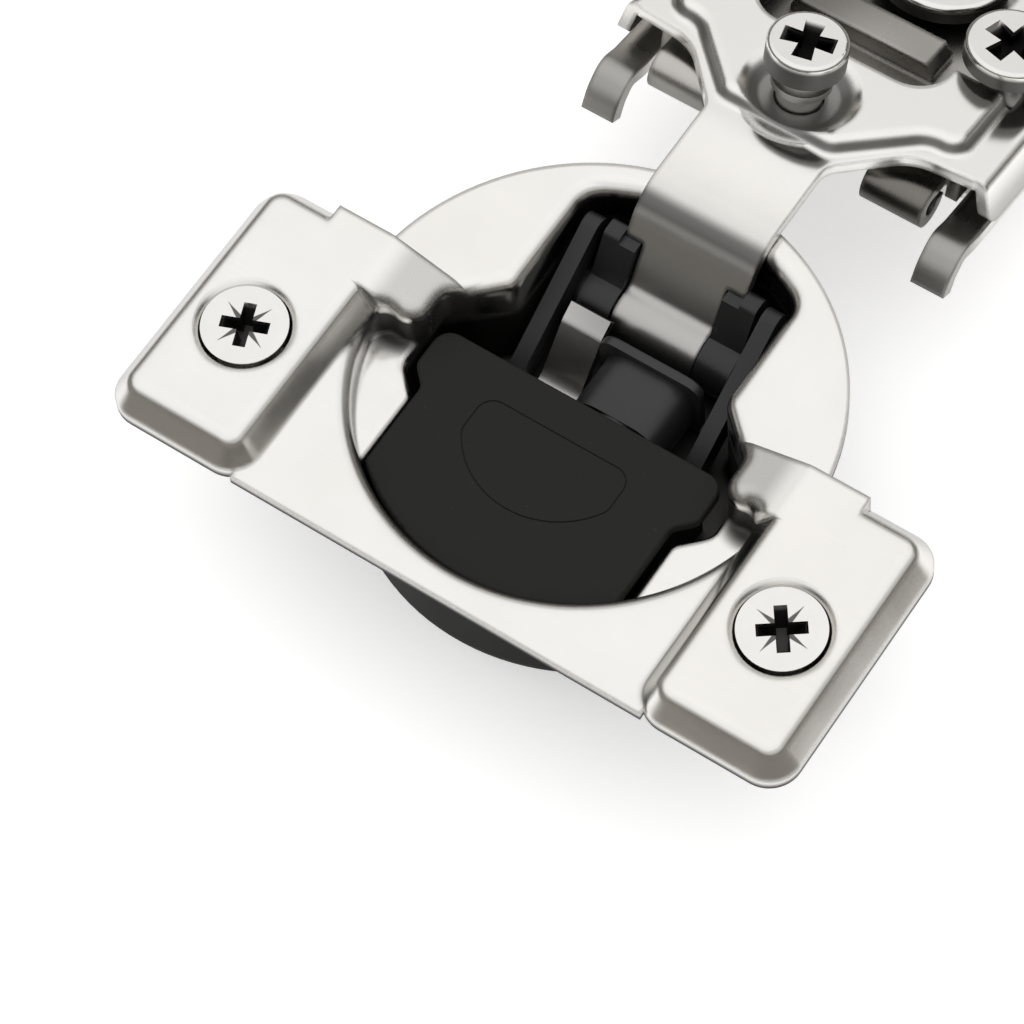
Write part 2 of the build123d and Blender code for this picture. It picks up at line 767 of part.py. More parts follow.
def badge_plan():
    """Bare outline on the lid: straight behind, bowed in front."""
    long = badge_bow + badge_back - badge_front
    plan = Pos(0, badge_back - long / 2) * Rectangle(2 * badge_half, long)
    plan &= Pos(0, badge_front + badge_bow) * Circle(badge_bow)
    side_y = badge_front + badge_bow - sqrt(badge_bow**2 - badge_half**2)
    return rounded(plan, [
        (badge_half, badge_back, badge_corner), (badge_half, side_y, badge_corner)])


def make_carrier():
    """Plastic guide block under the cover, with two sloping arms beside the hinge's eye."""
    span = 2 * mouth_radius
    plan = Circle(carrier_radius) & Pos(0, carrier_back - span / 2) * Rectangle(2 * carrier_half, span)
    body = slab(plan, floor_z, cover_bottom)
    damper_room = damper_radius + glide_gap
    head_room = head_width / 2 + glide_gap
    slider_room = slider_width / 2 + glide_gap
    wall = carrier_front_wall
    top = cover_bottom + over
    low = floor_z - over
    back = carrier_back + over
    ledge = head_front - damper_stroke - glide_gap
    body -= block(damper_x - damper_room, damper_x + damper_room, wall, back, low, top)
    body -= block(slider_x - slider_room, damper_x + head_room, ledge, back, low, top)
    body -= block(slider_x - slider_room, slider_x + slider_room, wall, back, low, top)
    body -= bar_y(rod_diameter / 2, wall - rod_seat, wall + over, damper_x, damper_z)
    slope = radians(side_arm_slope)
    half_depth = side_arm_depth / 2
    end = Pos(side_arm_end_y, side_arm_end_z) * Circle(half_depth)
    beam = Pos(-side_arm_length / 2, 0) * Rectangle(side_arm_length, side_arm_depth)
    side = end + Pos(side_arm_end_y, side_arm_end_z) * Rot(0, 0, side_arm_slope) * beam
    side -= Pos(0, floor_z - span / 2) * Rectangle(2 * span, span)
    side -= Pos(carrier_back - over - span / 2, 0) * Rectangle(span, 2 * span)
    foot_top = side_arm_end_z - (side_arm_end_y - side_arm_foot) * tan(slope)
    side += Pos((carrier_back - over + side_arm_foot) / 2, (foot_top + floor_z) / 2) * Rectangle(
        side_arm_foot - carrier_back + over, foot_top - floor_z)
    arms = both(across(side, side_arm_inner, side_arm_inner + side_arm_width))
    return body + arms


# ---- damper -------------------------------------------------------------------------------
def make_damper():
    """Moving tube of the damper with its wide head and collar, bored for the piston."""
    tube = bar_y(damper_radius, damper_front, head_front + over, damper_x, damper_z)
    section = RectangleRounded(head_width, head_height, head_height / 2 - head_flat)
    section = Plane.XZ.offset(-head_front) * (Pos(damper_x, damper_z) * section)
    head = extrude(section, amount=head_front - collar_front)
    collar_low = damper_z - head_height / 2
    collar_height = collar_top - collar_low
    collar = RectangleRounded(collar_width, collar_height, collar_corner)
    collar = Pos(damper_x, collar_low + collar_height / 2) * collar
    collar = extrude(Plane.XZ.offset(-collar_front) * collar, amount=-collar_thickness)
    body = tube + head + collar
    body = fillet([e for e in body.edges() if abs(e.center().Y - collar_back) < touch], collar_edge)
    return body - bar_y(bore_radius, damper_front - over, bore_end, damper_x, damper_z)


def make_gland():
    """Seal in the tube's mouth."""
    back = damper_front + gland_length
    gland = bar_y(bore_radius, damper_front, back, damper_x, damper_z)
    return gland - bar_y(rod_diameter / 2 + running, damper_front - over, back + over, damper_x, damper_z)


def make_rod():
    """Fixed piston rod, held by the carrier's front wall."""
    middle = piston_front + piston_length / 2
    rod = bar_y(rod_diameter / 2, carrier_front_wall - rod_seat, middle, damper_x, damper_z)
    piston = bar_y(bore_radius - running, piston_front, piston_front + piston_length, damper_x, damper_z)
    return rod + fillet(piston.edges(), piston_edge)


# ---- spring slider ------------------------------------------------------------------------
def make_slider():
    """Bent strip: a tab at the spring, a foot on the cup's floor and a curved tongue."""
    low = floor_z + slider_lift
    middle = low + slider_sheet / 2
    front = slider_front + slider_sheet / 2
    line = FilletPolyline(
        (front, slider_tab_top), (front, middle), (slider_bend, middle),
        (slider_tip_y - slider_tip_run, slider_tip_z - slider_tip_fall), (slider_tip_y, slider_tip_z),
        radius=[slider_corner, slider_bend_radius, slider_corner])
    strip = trace(line, line_width=slider_sheet)
    return across(strip, slider_x - slider_width / 2, slider_x + slider_width / 2)


def make_spring():
    """Closing spring between the carrier's front wall and the slider's tab."""
    front = carrier_front_wall + spring_wire / 2
    back = slider_front - spring_wire / 2
    radius = (spring_diameter - spring_wire) / 2
    path = Helix(pitch=(back - front) / spring_turns, height=back - front, radius=radius)
    section = Plane(origin=path @ 0, z_dir=path % 0) * Circle(spring_wire / 2)
    coil = sweep(section, path=path)
    return Pos(slider_x, front, spring_z) * Rot(-90, 0, 0) * coil


# ---- bracket: side screw, plates and cams ---------------------------------------------------
def make_side_screw():
    """Neck screw that tilts the arm plate against the slide plate."""
    screw = bar_z(side_head / 2, side_head_top - side_head_height, side_head_top, 0, 0)
    screw = fillet(screw.edges().group_by(Axis.Z)[-1], head_edge)
    screw += bar_z(side_neck / 2, side_neck_end, side_head_top - side_head_height / 2, 0, 0)
    ring = Circle(side_neck / 2 + over) - Circle(side_groove / 2)
    screw -= slab(ring, side_groove_at, side_groove_at + side_groove_height)
    screw += bar_z(side_shank / 2, side_shank_end, side_neck_end + over, 0, 0)
    recess = cross_recess(side_recess_width, side_recess_arm, side_recess_depth, side_recess_flare)
    screw -= Pos(0, 0, side_head_top) * Rot(0, 0, side_recess_turn) * recess
    return in_bracket(Pos(0, side_screw_u, 0) * screw)


def make_slide_plate():
    """Plate under the arm plate, with rolled front ends, a raised rib and side guides."""
    middle = (slide_front + slide_end) / 2
    plate = Pos(0, middle) * Rectangle(2 * slide_half, slide_end - slide_front)
    plate = slab(plate, slide_bottom, slide_top)
    tongue = Pos(0, (tongue_front + slide_front + over) / 2) * RectangleRounded(
        2 * tongue_half, slide_front + over - tongue_front, tongue_corner)
    tongue = slab(tongue, slide_bottom, slide_top)
    axis_w = slide_top - barrel_radius
    hollow = barrel_radius - slide_sheet
    gap = Pos(barrel_radius, hollow / 2) * Rectangle(2 * barrel_radius, hollow)
    roll = Pos(barrel_u, axis_w) * (Circle(barrel_radius) - Circle(hollow) - gap)
    lead = Pos((barrel_u + slide_front + over) / 2, slide_top - slide_sheet / 2) * Rectangle(
        slide_front + over - barrel_u, slide_sheet)
    plate += tongue + both(across(roll + lead, barrel_inner, barrel_outer))
    guide_inner = slide_half - slide_sheet
    guide_low = slide_top - guide_drop
    plate += both(block(guide_inner, slide_half, slide_front, slide_end, guide_low, slide_top))
    plate -= both(block(
        guide_inner - running, slide_half + over, height_cam_u - guide_notch, height_cam_u + guide_notch,
        guide_low - over, slide_bottom))
    rib_back = rib_front + rib_length
    rib = block(-rib_half, rib_half, rib_front, rib_back, slide_bottom, rib_top)
    rib = chamfer(rib.edges().filter_by(Axis.Y).group_by(Axis.Z)[-1], rib_edge)
    inner = rib_half - slide_sheet
    below = block(
        -inner, inner, rib_front + slide_sheet, rib_back - slide_sheet, slide_bottom, rib_top - rib_crown)
    plate = plate + rib - below
    plate -= bar_z(side_shank / 2 + side_hole_gap, cut_low, 0, 0, side_screw_u)
    plate -= bar_z(depth_shank / 2 + running, cut_low, 0, depth_cam_x, depth_cam_u)
    half_long = height_shank / 2 + depth_travel + slot_gap
    slot = SlotOverall(2 * half_long, height_shank + 2 * slot_gap, rotation=90)
    slot = Pos(height_cam_x, height_cam_u) * slot
    plate -= slab(slot, cut_low, 0)
    plate -= both(bar_x(tilt_rivet / 2 + running, guide_inner - over, slide_half + over, tilt_u, tilt_w))
    return in_bracket(plate)


def make_tilt_rivet(side):
    """Rear pivot of the tilt."""
    inner = slide_half - slide_sheet - tilt_rivet_foot
    outer = tilt_ear_inner + arm_sheet
    rivet = bar_x(tilt_rivet / 2, inner, outer + tilt_head_height, tilt_u, tilt_w)
    rivet += bar_x(tilt_head / 2, outer, outer + tilt_head_height, tilt_u, tilt_w)
    return in_bracket(rivet if side > 0 else mirror(rivet, about=Plane.YZ))


def make_depth_cam():
    """Large disc in the opening; its off-centre pin drives the depth plate."""
    head = bar_z(depth_head / 2, depth_head_bottom, depth_head_top, 0, 0)
    head = fillet(head.edges().group_by(Axis.Z)[-1], depth_head_edge)
    middle = (depth_head_bottom + depth_head_top) / 2
    cam = head + bar_z(depth_shank / 2, slide_bottom - cam_lift, middle, 0, 0)
    cam += bar_z(depth_pin / 2, depth_bottom, slide_bottom - cam_lift, depth_throw, 0)
    recess = cross_recess(side_recess_width, side_recess_arm, depth_recess_depth, side_recess_flare)
    cam -= Pos(0, 0, depth_head_top) * Rot(0, 0, depth_recess_turn) * recess
    return in_bracket(Pos(depth_cam_x, depth_cam_u, 0) * cam)


def make_depth_plate():
    """Middle plate: the depth cam moves it along the slide plate."""
    plate = Pos(0, (depth_front + depth_end) / 2) * RectangleRounded(
        2 * depth_half, depth_end - depth_front, depth_corner)
    ear = Pos(height_cam_x, height_cam_u) * Circle(height_ear)
    plate = slab(plate + ear, depth_bottom, depth_top)
    reach = depth_pin / 2 + depth_throw * (1 - cos(radians(cam_turn))) + slot_gap
    slot = Pos(depth_cam_x + depth_throw - reach + depth_pin / 2 + slot_gap, depth_cam_u) * SlotOverall(
        2 * reach, depth_pin + 2 * slot_gap)
    plate -= slab(slot, cut_low, 0)
    plate -= bar_z(height_shank / 2 + running, cut_low, 0, height_cam_x, height_cam_u)
    return in_bracket(plate)


def make_height_cam():
    """Screw-headed cam at the right; its off-centre pin drives the base plate sideways."""
    top = height_head_bottom + height_head_height
    head = bar_z(height_head / 2, height_head_bottom, top, 0, 0)
    head = fillet(head.edges().group_by(Axis.Z)[-1], head_edge)
    cam = head + bar_z(height_shank / 2, depth_bottom - cam_lift, top - height_head_height / 2, 0, 0)
    cam += bar_z(height_pin / 2, base_bottom + height_pin_gap, depth_bottom - cam_lift, 0, height_throw)
    recess = cross_recess(height_recess_width, height_recess_arm, height_recess_depth, side_recess_flare)
    cam -= Pos(0, 0, top) * Rot(0, 0, height_recess_turn) * recess
    return in_bracket(Pos(height_cam_x, height_cam_u, 0) * cam)


def hook_profile():
    """Side view of a front hook: it lifts, crests and turns down in front of the frame."""
    level = base_top - base_sheet / 2
    line = FilletPolyline(
        (base_front + base_corner, level), (hook_rise_u + hook_ramp, level),
        (hook_crest_u, hook_crest - base_sheet / 2),
        (hook_crest_u - hook_brow, hook_crest - hook_brow_fall), (hook_tip_u, hook_tip),
        radius=[hook_root_radius, hook_crest_radius, hook_brow_radius])
    return trace(line, line_width=base_sheet)


def make_base_plate():
    """Plate that lies on the frame, with two curved hooks and its screw holes."""
    middle = (base_front + base_end) / 2
    plan = Pos(0, middle) * RectangleRounded(2 * base_half, base_end - base_front, base_corner)
    strip = Pos(hook_inner + hook_width / 2, middle - base_corner / 2) * Rectangle(
        hook_width, base_end - base_front - base_corner)
    plate = slab(plan + both(strip), base_bottom, base_top)
    hook = across(hook_profile(), hook_inner, hook_inner + hook_width)
    plate += both(hook)
    half_long = height_pin / 2 + height_throw * (1 - cos(radians(cam_turn))) / 2 + slot_gap
    slot_u = height_cam_u + height_throw * (1 + cos(radians(cam_turn))) / 2
    slot = Pos(height_cam_x, slot_u) * SlotOverall(2 * half_long, height_pin + 2 * slot_gap, rotation=90)
    plate -= slab(slot, cut_low, 0)
    sink = (frame_head - frame_hole) / 2
    for x in (-frame_hole_x, frame_hole_x):
        plate -= bar_z(frame_hole / 2, cut_low, base_top + over, x, frame_hole_u)
        plate -= Pos(x, frame_hole_u, base_top - sink / 2) * Cone(frame_hole / 2, frame_head / 2, sink)
    return in_bracket(plate)


NODES = {
    "cup": make_cup,
    "left_door_screw": lambda: make_door_screw(-1),
    "right_door_screw": lambda: make_door_screw(1),
    "hinge_pin": make_pin,
    "pin_sleeve_left": lambda: make_sleeve(-1),
    "pin_sleeve_right": lambda: make_sleeve(1),
    "cover": make_cover,
    "carrier": make_carrier,
    "damper_cylinder": make_damper,
    "damper_gland": make_gland,
    "damper_rod": make_rod,
    "spring_slider": make_slider,
    "closing_spring": make_spring,
    "hinge_arm": make_arm,
    "cam_left": lambda: make_cam(-1),
    "cam_right": lambda: make_cam(1),
    "side_screw": make_side_screw,
    "slide_plate": make_slide_plate,
    "tilt_rivet_left": lambda: make_tilt_rivet(-1),
    "tilt_rivet_right": lambda: make_tilt_rivet(1),
    "depth_cam": make_depth_cam,
    "depth_plate": make_depth_plate,
    "height_cam": make_height_cam,
    "base_plate": make_base_plate,
}

for name, make in NODES.items():
    export_step(make(), "parts/" + name + ".step")
    print(name, "written")
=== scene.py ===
# %% [markdown]
# # A concealed cup hinge, dressed for the camera
# The imported model is loaded first and stays as it is: every steel and plastic piece
# already stands where it works, in metres. Blender adds the light, the finishes and the
# small details that a solid model leaves plain. The model's box is measured before
# anything is added, and the table is set just under it.

# %% Load the frame
import bpy
import math
from mathutils import Euler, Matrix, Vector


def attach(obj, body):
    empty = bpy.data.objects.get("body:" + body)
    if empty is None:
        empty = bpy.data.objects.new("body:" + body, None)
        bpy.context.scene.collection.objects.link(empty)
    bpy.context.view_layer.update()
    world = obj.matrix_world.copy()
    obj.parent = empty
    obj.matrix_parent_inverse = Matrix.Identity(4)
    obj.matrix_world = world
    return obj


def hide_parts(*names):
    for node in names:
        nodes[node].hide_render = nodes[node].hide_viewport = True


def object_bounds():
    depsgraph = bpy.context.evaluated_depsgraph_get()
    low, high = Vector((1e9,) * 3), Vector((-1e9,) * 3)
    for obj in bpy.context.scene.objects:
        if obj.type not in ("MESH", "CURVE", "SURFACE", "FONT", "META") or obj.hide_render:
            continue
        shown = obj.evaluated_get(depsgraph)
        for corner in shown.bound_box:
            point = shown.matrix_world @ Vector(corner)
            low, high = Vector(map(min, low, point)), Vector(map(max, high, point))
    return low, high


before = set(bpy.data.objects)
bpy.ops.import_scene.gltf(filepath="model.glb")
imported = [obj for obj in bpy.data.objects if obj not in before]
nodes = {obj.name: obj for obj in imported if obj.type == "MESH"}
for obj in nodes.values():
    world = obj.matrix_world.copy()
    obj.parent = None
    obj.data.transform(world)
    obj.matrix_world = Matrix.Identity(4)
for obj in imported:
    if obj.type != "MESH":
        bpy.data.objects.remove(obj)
cad_box = [list(corner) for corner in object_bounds()]
print("CAD box", cad_box, "with", len(nodes), "nodes")

# %% [markdown]
# A hinge shows best from the front left and well above. A short lens close by would
# splay its edges, so the camera stands back with a long lens, and parallel edges stay
# nearly parallel, as in a close product picture. The Standard view adds no curve of its
# own, so white paper stays white.

# %% Camera
# Sensor and lens in millimetres, places in metres, turns in degrees.
SENSOR_WIDTH = 36.0
LENS = 150.74
CLIP_START = 0.01
CAMERA_PLACE = (0.091108, -0.117725, 0.264028)
CAMERA_TURN = (27.6844, 3.2719, 33.8814)

camera_data = bpy.data.cameras.new("product_camera")
camera_data.sensor_width = SENSOR_WIDTH
camera_data.lens = LENS
camera_data.clip_start = CLIP_START
camera = bpy.data.objects.new("product_camera", camera_data)
camera.location = CAMERA_PLACE
camera.rotation_euler = Euler([math.radians(angle) for angle in CAMERA_TURN])
bpy.context.scene.collection.objects.link(camera)
bpy.context.scene.camera = camera
bpy.context.scene.view_settings.view_transform = "Standard"
print("camera with a lens of", LENS, "mm")

# %% [markdown]
# Light and finishes are trees of nodes, and the same few steps come back in every tree:
# add a node, feed its inputs, do a sum, blend from one value to another. They could be
# clicked together in the editor. As small functions they let each finish below read as
# a short recipe, and the last one sets a tree out in columns for whoever opens it.

# %% Helpers for node trees
COLUMN_WIDTH = 200
ROW_HEIGHT = 180


def add_node(tree, kind, **values):
    """Add a node; values set its attributes or, by name, its inputs."""
    node = tree.nodes.new(kind)
    for key, value in values.items():
        if hasattr(node, key):
            setattr(node, key, value)
        else:
            node.inputs[key].default_value = value
    return node


def feed(tree, socket, value):
    """Feed an input from another socket, or set it when the value is plain."""
    if isinstance(value, bpy.types.NodeSocket):
        tree.links.new(value, socket)
    else:
        socket.default_value = value


def calc(tree, operation, *values):
    """One step of arithmetic on sockets or plain numbers."""
    node = add_node(tree, "ShaderNodeMath", operation=operation)
    for socket, value in zip(node.inputs, values):
        feed(tree, socket, value)
    return node.outputs[0]


def blend_span(tree, value, low, high, start=0.0, end=1.0):
    """A soft step: start below low, end above high."""
    node = add_node(tree, "ShaderNodeMapRange", interpolation_type="SMOOTHSTEP")
    for socket, item in zip(node.inputs, (value, low, high, start, end)):
        feed(tree, socket, item)
    return node.outputs[0]


def split(tree, vector):
    """The three coordinates of a vector."""
    node = add_node(tree, "ShaderNodeSeparateXYZ")
    feed(tree, node.inputs[0], vector)
    return node.outputs


def lay_out(tree):
    """Set the nodes in columns, each one left of everything that it feeds."""
    column = {node.name: 0 for node in tree.nodes}
    moved = True
    while moved:
        moved = False
        for wire in tree.links:
            least = column[wire.to_node.name] + 1
            if column[wire.from_node.name] < least:
                column[wire.from_node.name] = least
                moved = True
    filled = dict.fromkeys(column.values(), 0)
    for node in tree.nodes:
        here = column[node.name]
        node.location = (-here * COLUMN_WIDTH, -filled[here] * ROW_HEIGHT)
        filled[here] += 1


print("helpers ready, with columns of", COLUMN_WIDTH)

# %% [markdown]
# Polished nickel shows only what stands round it. A studio for such parts is a broad
# white sheet overhead, dark walls beyond its edge and a pale table. The sheet whitens
# the flat faces, the dark walls draw the soft black lines along each bend, and the
# table gives the slanted sides their warm grey.
#
# Lamps and boards could stand in for all that, but they would show as shapes of their
# own in the metal. Here the world holds sheet and walls, as bands that run by height
# only, so every view of the hinge finds the same studio: warm grey at the level of the
# table, a dark wall with a dim lamp on it, and from about thirty degrees up the sheet.

# %% The world: a white sheet above, dark walls, warm grey at the table's level
# Each band has a place, from 0 straight down to 1 straight up, and a colour.
WORLD_BANDS = (
    (0.0, (0.36, 0.34, 0.315)),
    (0.49, (0.30, 0.285, 0.26)),
    (0.515, (0.08, 0.075, 0.07)),
    (0.55, (0.34, 0.32, 0.29)),
    (0.585, (0.50, 0.475, 0.43)),
    (0.625, (0.12, 0.115, 0.105)),
    (0.65, (0.04, 0.038, 0.035)),
    (0.69, (0.04, 0.038, 0.035)),
    (0.74, (1.0, 1.0, 0.995)),
    (1.0, (1.14, 1.14, 1.14)),
)

world = bpy.data.worlds.new("studio")
bpy.context.scene.world = world
world.use_nodes = True
tree = world.node_tree
tree.nodes.clear()
direction = split(tree, add_node(tree, "ShaderNodeTexCoord").outputs["Generated"])
bands = add_node(tree, "ShaderNodeValToRGB")
bands.color_ramp.interpolation = "EASE"
for position, _ in WORLD_BANDS[1:-1]:
    bands.color_ramp.elements.new(position)
for element, (_, colour) in zip(bands.color_ramp.elements, WORLD_BANDS):
    element.color = (*colour, 1.0)
sky = add_node(tree, "ShaderNodeBackground")
out = add_node(tree, "ShaderNodeOutputWorld")
feed(tree, bands.inputs["Fac"], calc(tree, "MULTIPLY_ADD", direction["Z"], 0.5, 0.5))
feed(tree, sky.inputs["Color"], bands.outputs["Color"])
feed(tree, out.inputs["Surface"], sky.outputs[0])
lay_out(tree)
print("world bands at", [round(element.position, 3) for element in bands.color_ramp.elements])

# %% [markdown]
# The table is a wide disc just under the lowest screw tip, white paper to the eye, and
# it catches a soft shadow. The metal sees the paper only near the hinge; further out
# it mirrors a warm grey, which draws the slanted sides of the pads. Two discs of two
# colours would show their edge, so one disc asks by which ray it is seen. The paper
# also glows a little, so that it stays plain white.

# %% Helpers for the table's colour
# Places of the two colours, and of the mixed one, among all the sockets of a Mix node.
MIX_FIRST = 6
MIX_SECOND = 7
MIX_RESULT = 2


def mix_colour(tree, factor, first, second, mode="MIX"):
    """Mix two colours, each a socket or a plain colour."""
    node = add_node(tree, "ShaderNodeMix", data_type="RGBA", blend_type=mode)
    feed(tree, node.inputs["Factor"], factor)
    feed(tree, node.inputs[MIX_FIRST], first)
    feed(tree, node.inputs[MIX_SECOND], second)
    return node.outputs[MIX_RESULT]


def rest_of(tree, share):
    """What a share leaves of 1."""
    return calc(tree, "SUBTRACT", 1.0, share)


print("colours are mixed from sockets", MIX_FIRST, "and", MIX_SECOND)

# %% The table
TABLE_RADIUS = 2.0
TABLE_SIDES = 96
TABLE_DROP = 0.0003
FADE_START = 0.075
FADE_END = 0.102
PAPER_NEAR = (0.95, 0.95, 0.95, 1)
PAPER_FAR = (0.27, 0.255, 0.235, 1)
PAPER_GLOW = 0.40

bpy.ops.object.select_all(action="DESELECT")
bpy.ops.mesh.primitive_circle_add(
    vertices=TABLE_SIDES, radius=TABLE_RADIUS, fill_type="NGON",
    location=(0, 0, cad_box[0][2] - TABLE_DROP))
table = bpy.context.active_object
table.name = "table"
paper = bpy.data.materials.new("table_white")
paper.use_nodes = True
tree = paper.node_tree
tree.nodes.clear()
distance = add_node(tree, "ShaderNodeVectorMath", operation="LENGTH")
feed(tree, distance.inputs[0], add_node(tree, "ShaderNodeTexCoord").outputs["Object"])
far = blend_span(tree, distance.outputs["Value"], FADE_START, FADE_END)
path = add_node(tree, "ShaderNodeLightPath")
seen = path.outputs["Is Camera Ray"]
mirrored = calc(tree, "MULTIPLY", path.outputs["Is Glossy Ray"], rest_of(tree, far))
lift = calc(tree, "MULTIPLY", calc(tree, "MAXIMUM", seen, mirrored), PAPER_GLOW)
grey_share = calc(tree, "MULTIPLY", far, rest_of(tree, seen))
matt = add_node(tree, "ShaderNodeBsdfDiffuse")
glow = add_node(tree, "ShaderNodeEmission")
total = add_node(tree, "ShaderNodeAddShader")
out = add_node(tree, "ShaderNodeOutputMaterial")
feed(tree, matt.inputs["Color"], mix_colour(tree, grey_share, PAPER_NEAR, PAPER_FAR))
feed(tree, glow.inputs["Strength"], lift)
feed(tree, total.inputs[0], matt.outputs[0])
feed(tree, total.inputs[1], glow.outputs[0])
feed(tree, out.inputs["Surface"], total.outputs[0])
lay_out(tree)
table.data.materials.append(paper)
print("table at", round(table.location.z, 4), "m")

# %% [markdown]
# ## Finishes
# Three kinds of surface make up the hinge: pressed steel with a nickel plating, small
# turned steel parts, and moulded plastic. Each kind could be painted on every piece
# anew. It is one node group instead, so that every piece of the kind shares its look
# and only the tone, the grain and the shading change. All of them read Object
# coordinates, turned into millimetres, and for the tilted bracket along its own plates.

# %% Helpers for coordinates
PER_METRE = 1000.0
BRACKET_ORIGIN = (0, 23.2, 1.2)
BRACKET_TILT = 13.0


def centre_on(tree, vector, middle):
    """Coordinates counted from a point."""
    node = add_node(tree, "ShaderNodeVectorMath", operation="SUBTRACT")
    feed(tree, node.inputs[0], vector)
    feed(tree, node.inputs[1], middle)
    return node.outputs[0]


def swing(tree, vector, axis, degrees):
    """Coordinates turned round an axis, such as Z_AXIS."""
    node = add_node(tree, "ShaderNodeVectorRotate", rotation_type=axis)
    feed(tree, node.inputs["Vector"], vector)
    feed(tree, node.inputs["Angle"], math.radians(degrees))
    return node.outputs[0]


def millimetres(tree, bracket=False):
    """Object coordinates in millimetres, for the bracket along its own plates."""
    scaled = add_node(tree, "ShaderNodeVectorMath", operation="SCALE", Scale=PER_METRE)
    feed(tree, scaled.inputs[0], add_node(tree, "ShaderNodeTexCoord").outputs["Object"])
    if not bracket:
        return scaled.outputs[0]
    return swing(tree, centre_on(tree, scaled.outputs[0], BRACKET_ORIGIN), "X_AXIS", BRACKET_TILT)


def from_axis(tree, axes):
    """Distance from the Z axis."""
    squares = [calc(tree, "MULTIPLY", axes[name], axes[name]) for name in ("X", "Y")]
    return calc(tree, "SQRT", calc(tree, "ADD", *squares))


print("bracket coordinates tilt by", BRACKET_TILT, "degrees")

# %% Helpers for groups
SURFACE_SOCKETS = (
    ("Color", "NodeSocketColor"),
    ("Roughness", "NodeSocketFloat"),
    ("Height", "NodeSocketFloat"),
)


def new_group(name, inputs):
    """An empty node group that gives a surface; returned with its two ends."""
    group = bpy.data.node_groups.new(name, "ShaderNodeTree")
    for label, kind, value in inputs:
        socket = group.interface.new_socket(label, in_out="INPUT", socket_type=kind)
        if value is not None:
            socket.default_value = value
    for label, kind in SURFACE_SOCKETS:
        group.interface.new_socket(label, in_out="OUTPUT", socket_type=kind)
    start = add_node(group, "NodeGroupInput")
    end = add_node(group, "NodeGroupOutput")
    return group, start.outputs, end.inputs


def close_group(group, made, colour, rough, relief):
    """Send the three results to the group's outputs."""
    feed(group, made["Color"], colour)
    feed(group, made["Roughness"], rough)
    feed(group, made["Height"], relief)
    lay_out(group)


def noise(tree, vector, scale, detail=2.0, stretch=None):
    """Soft noise from 0 to 1; a stretch makes it run in one direction."""
    if stretch is not None:
        scaled = add_node(tree, "ShaderNodeVectorMath", operation="MULTIPLY")
        feed(tree, scaled.inputs[0], vector)
        feed(tree, scaled.inputs[1], stretch)
        vector = scaled.outputs[0]
    node = add_node(tree, "ShaderNodeTexNoise", Scale=scale, Detail=detail)
    feed(tree, node.inputs["Vector"], vector)
    return node.outputs["Fac"]


def add_share(tree, base, value, share):
    """The base with a share of a value added, or taken away if the share is negative."""
    return calc(tree, "MULTIPLY_ADD", value, share, base)


def sway(tree, base, wave, width):
    """The base moved up and down, within a width, by a noise from 0 to 1."""
    return add_share(tree, base, calc(tree, "SUBTRACT", wave, 0.5), width)


def toned(tree, tone, level):
    """A colour made brighter or darker by a level."""
    grey = add_node(tree, "ShaderNodeCombineColor")
    for socket in grey.inputs:
        feed(tree, socket, level)
    return mix_colour(tree, 1.0, tone, grey.outputs[0], "MULTIPLY")


print("groups will give", [label for label, _ in SURFACE_SOCKETS])

# %% [markdown]
# Nickel plating is never one even grey. Over the part run faint clouds where the bath
# laid it warmer or cooler, the rolled sheet below leaves fine lines, and a few specks
# catch dust. A picture of real metal would repeat or smear over the bends, so noises
# of several sizes make all of it. The same clouds also change how sharply it mirrors,
# and where a piece is shaded it is duller too.

# %% Pressed and plated steel
NICKEL = (0.8, 0.785, 0.76, 1)
WARM_NICKEL = (0.79, 0.765, 0.725, 1)

plated, given, made = new_group("plated_steel", [
    ("Vector", "NodeSocketVector", None),
    ("Tone", "NodeSocketColor", NICKEL),
    ("Rough", "NodeSocketFloat", 0.2),
    ("Shade", "NodeSocketFloat", 1.0),
    ("Grain", "NodeSocketVector", (5.0, 0.25, 5.0)),
])
clouds = noise(plated, given["Vector"], scale=0.17, detail=3.0)
patches = noise(plated, given["Vector"], scale=0.06, detail=1.0)
lines = noise(plated, given["Vector"], scale=1.0, detail=3.0, stretch=given["Grain"])
specks = blend_span(plated, noise(plated, given["Vector"], scale=3.2), low=0.70, high=0.78)
level = add_share(plated, 0.95, clouds, 0.10)
level = add_share(plated, level, specks, -0.05)
level = sway(plated, level, lines, 0.05)
warmth = blend_span(plated, patches, low=0.35, high=0.65, end=0.5)
colour = toned(plated, mix_colour(plated, warmth, given["Tone"], WARM_NICKEL),
               calc(plated, "MULTIPLY", level, given["Shade"]))
rough = sway(plated, given["Rough"], clouds, 0.14)
rough = sway(plated, rough, lines, 0.08)
rough = add_share(plated, rough, specks, 0.05)
rough = add_share(plated, rough, rest_of(plated, given["Shade"]), 0.38)
relief = add_share(plated, clouds, lines, 0.5)
relief = add_share(plated, relief, specks, -0.02)
close_group(plated, made, colour, rough, relief)
print("plated steel:", len(plated.nodes), "nodes")

# %% [markdown]
# Screws, cams and pins come off a lathe or a header, so their fine lines run in rings
# round their own axis. A noise that is fed with distance from the axis and height, in
# place of the three coordinates, can only vary in rings. The group takes coordinates
# that are already centred on the axis. The shade also lowers the surface, so that a
# shaded mark has an edge that catches light.

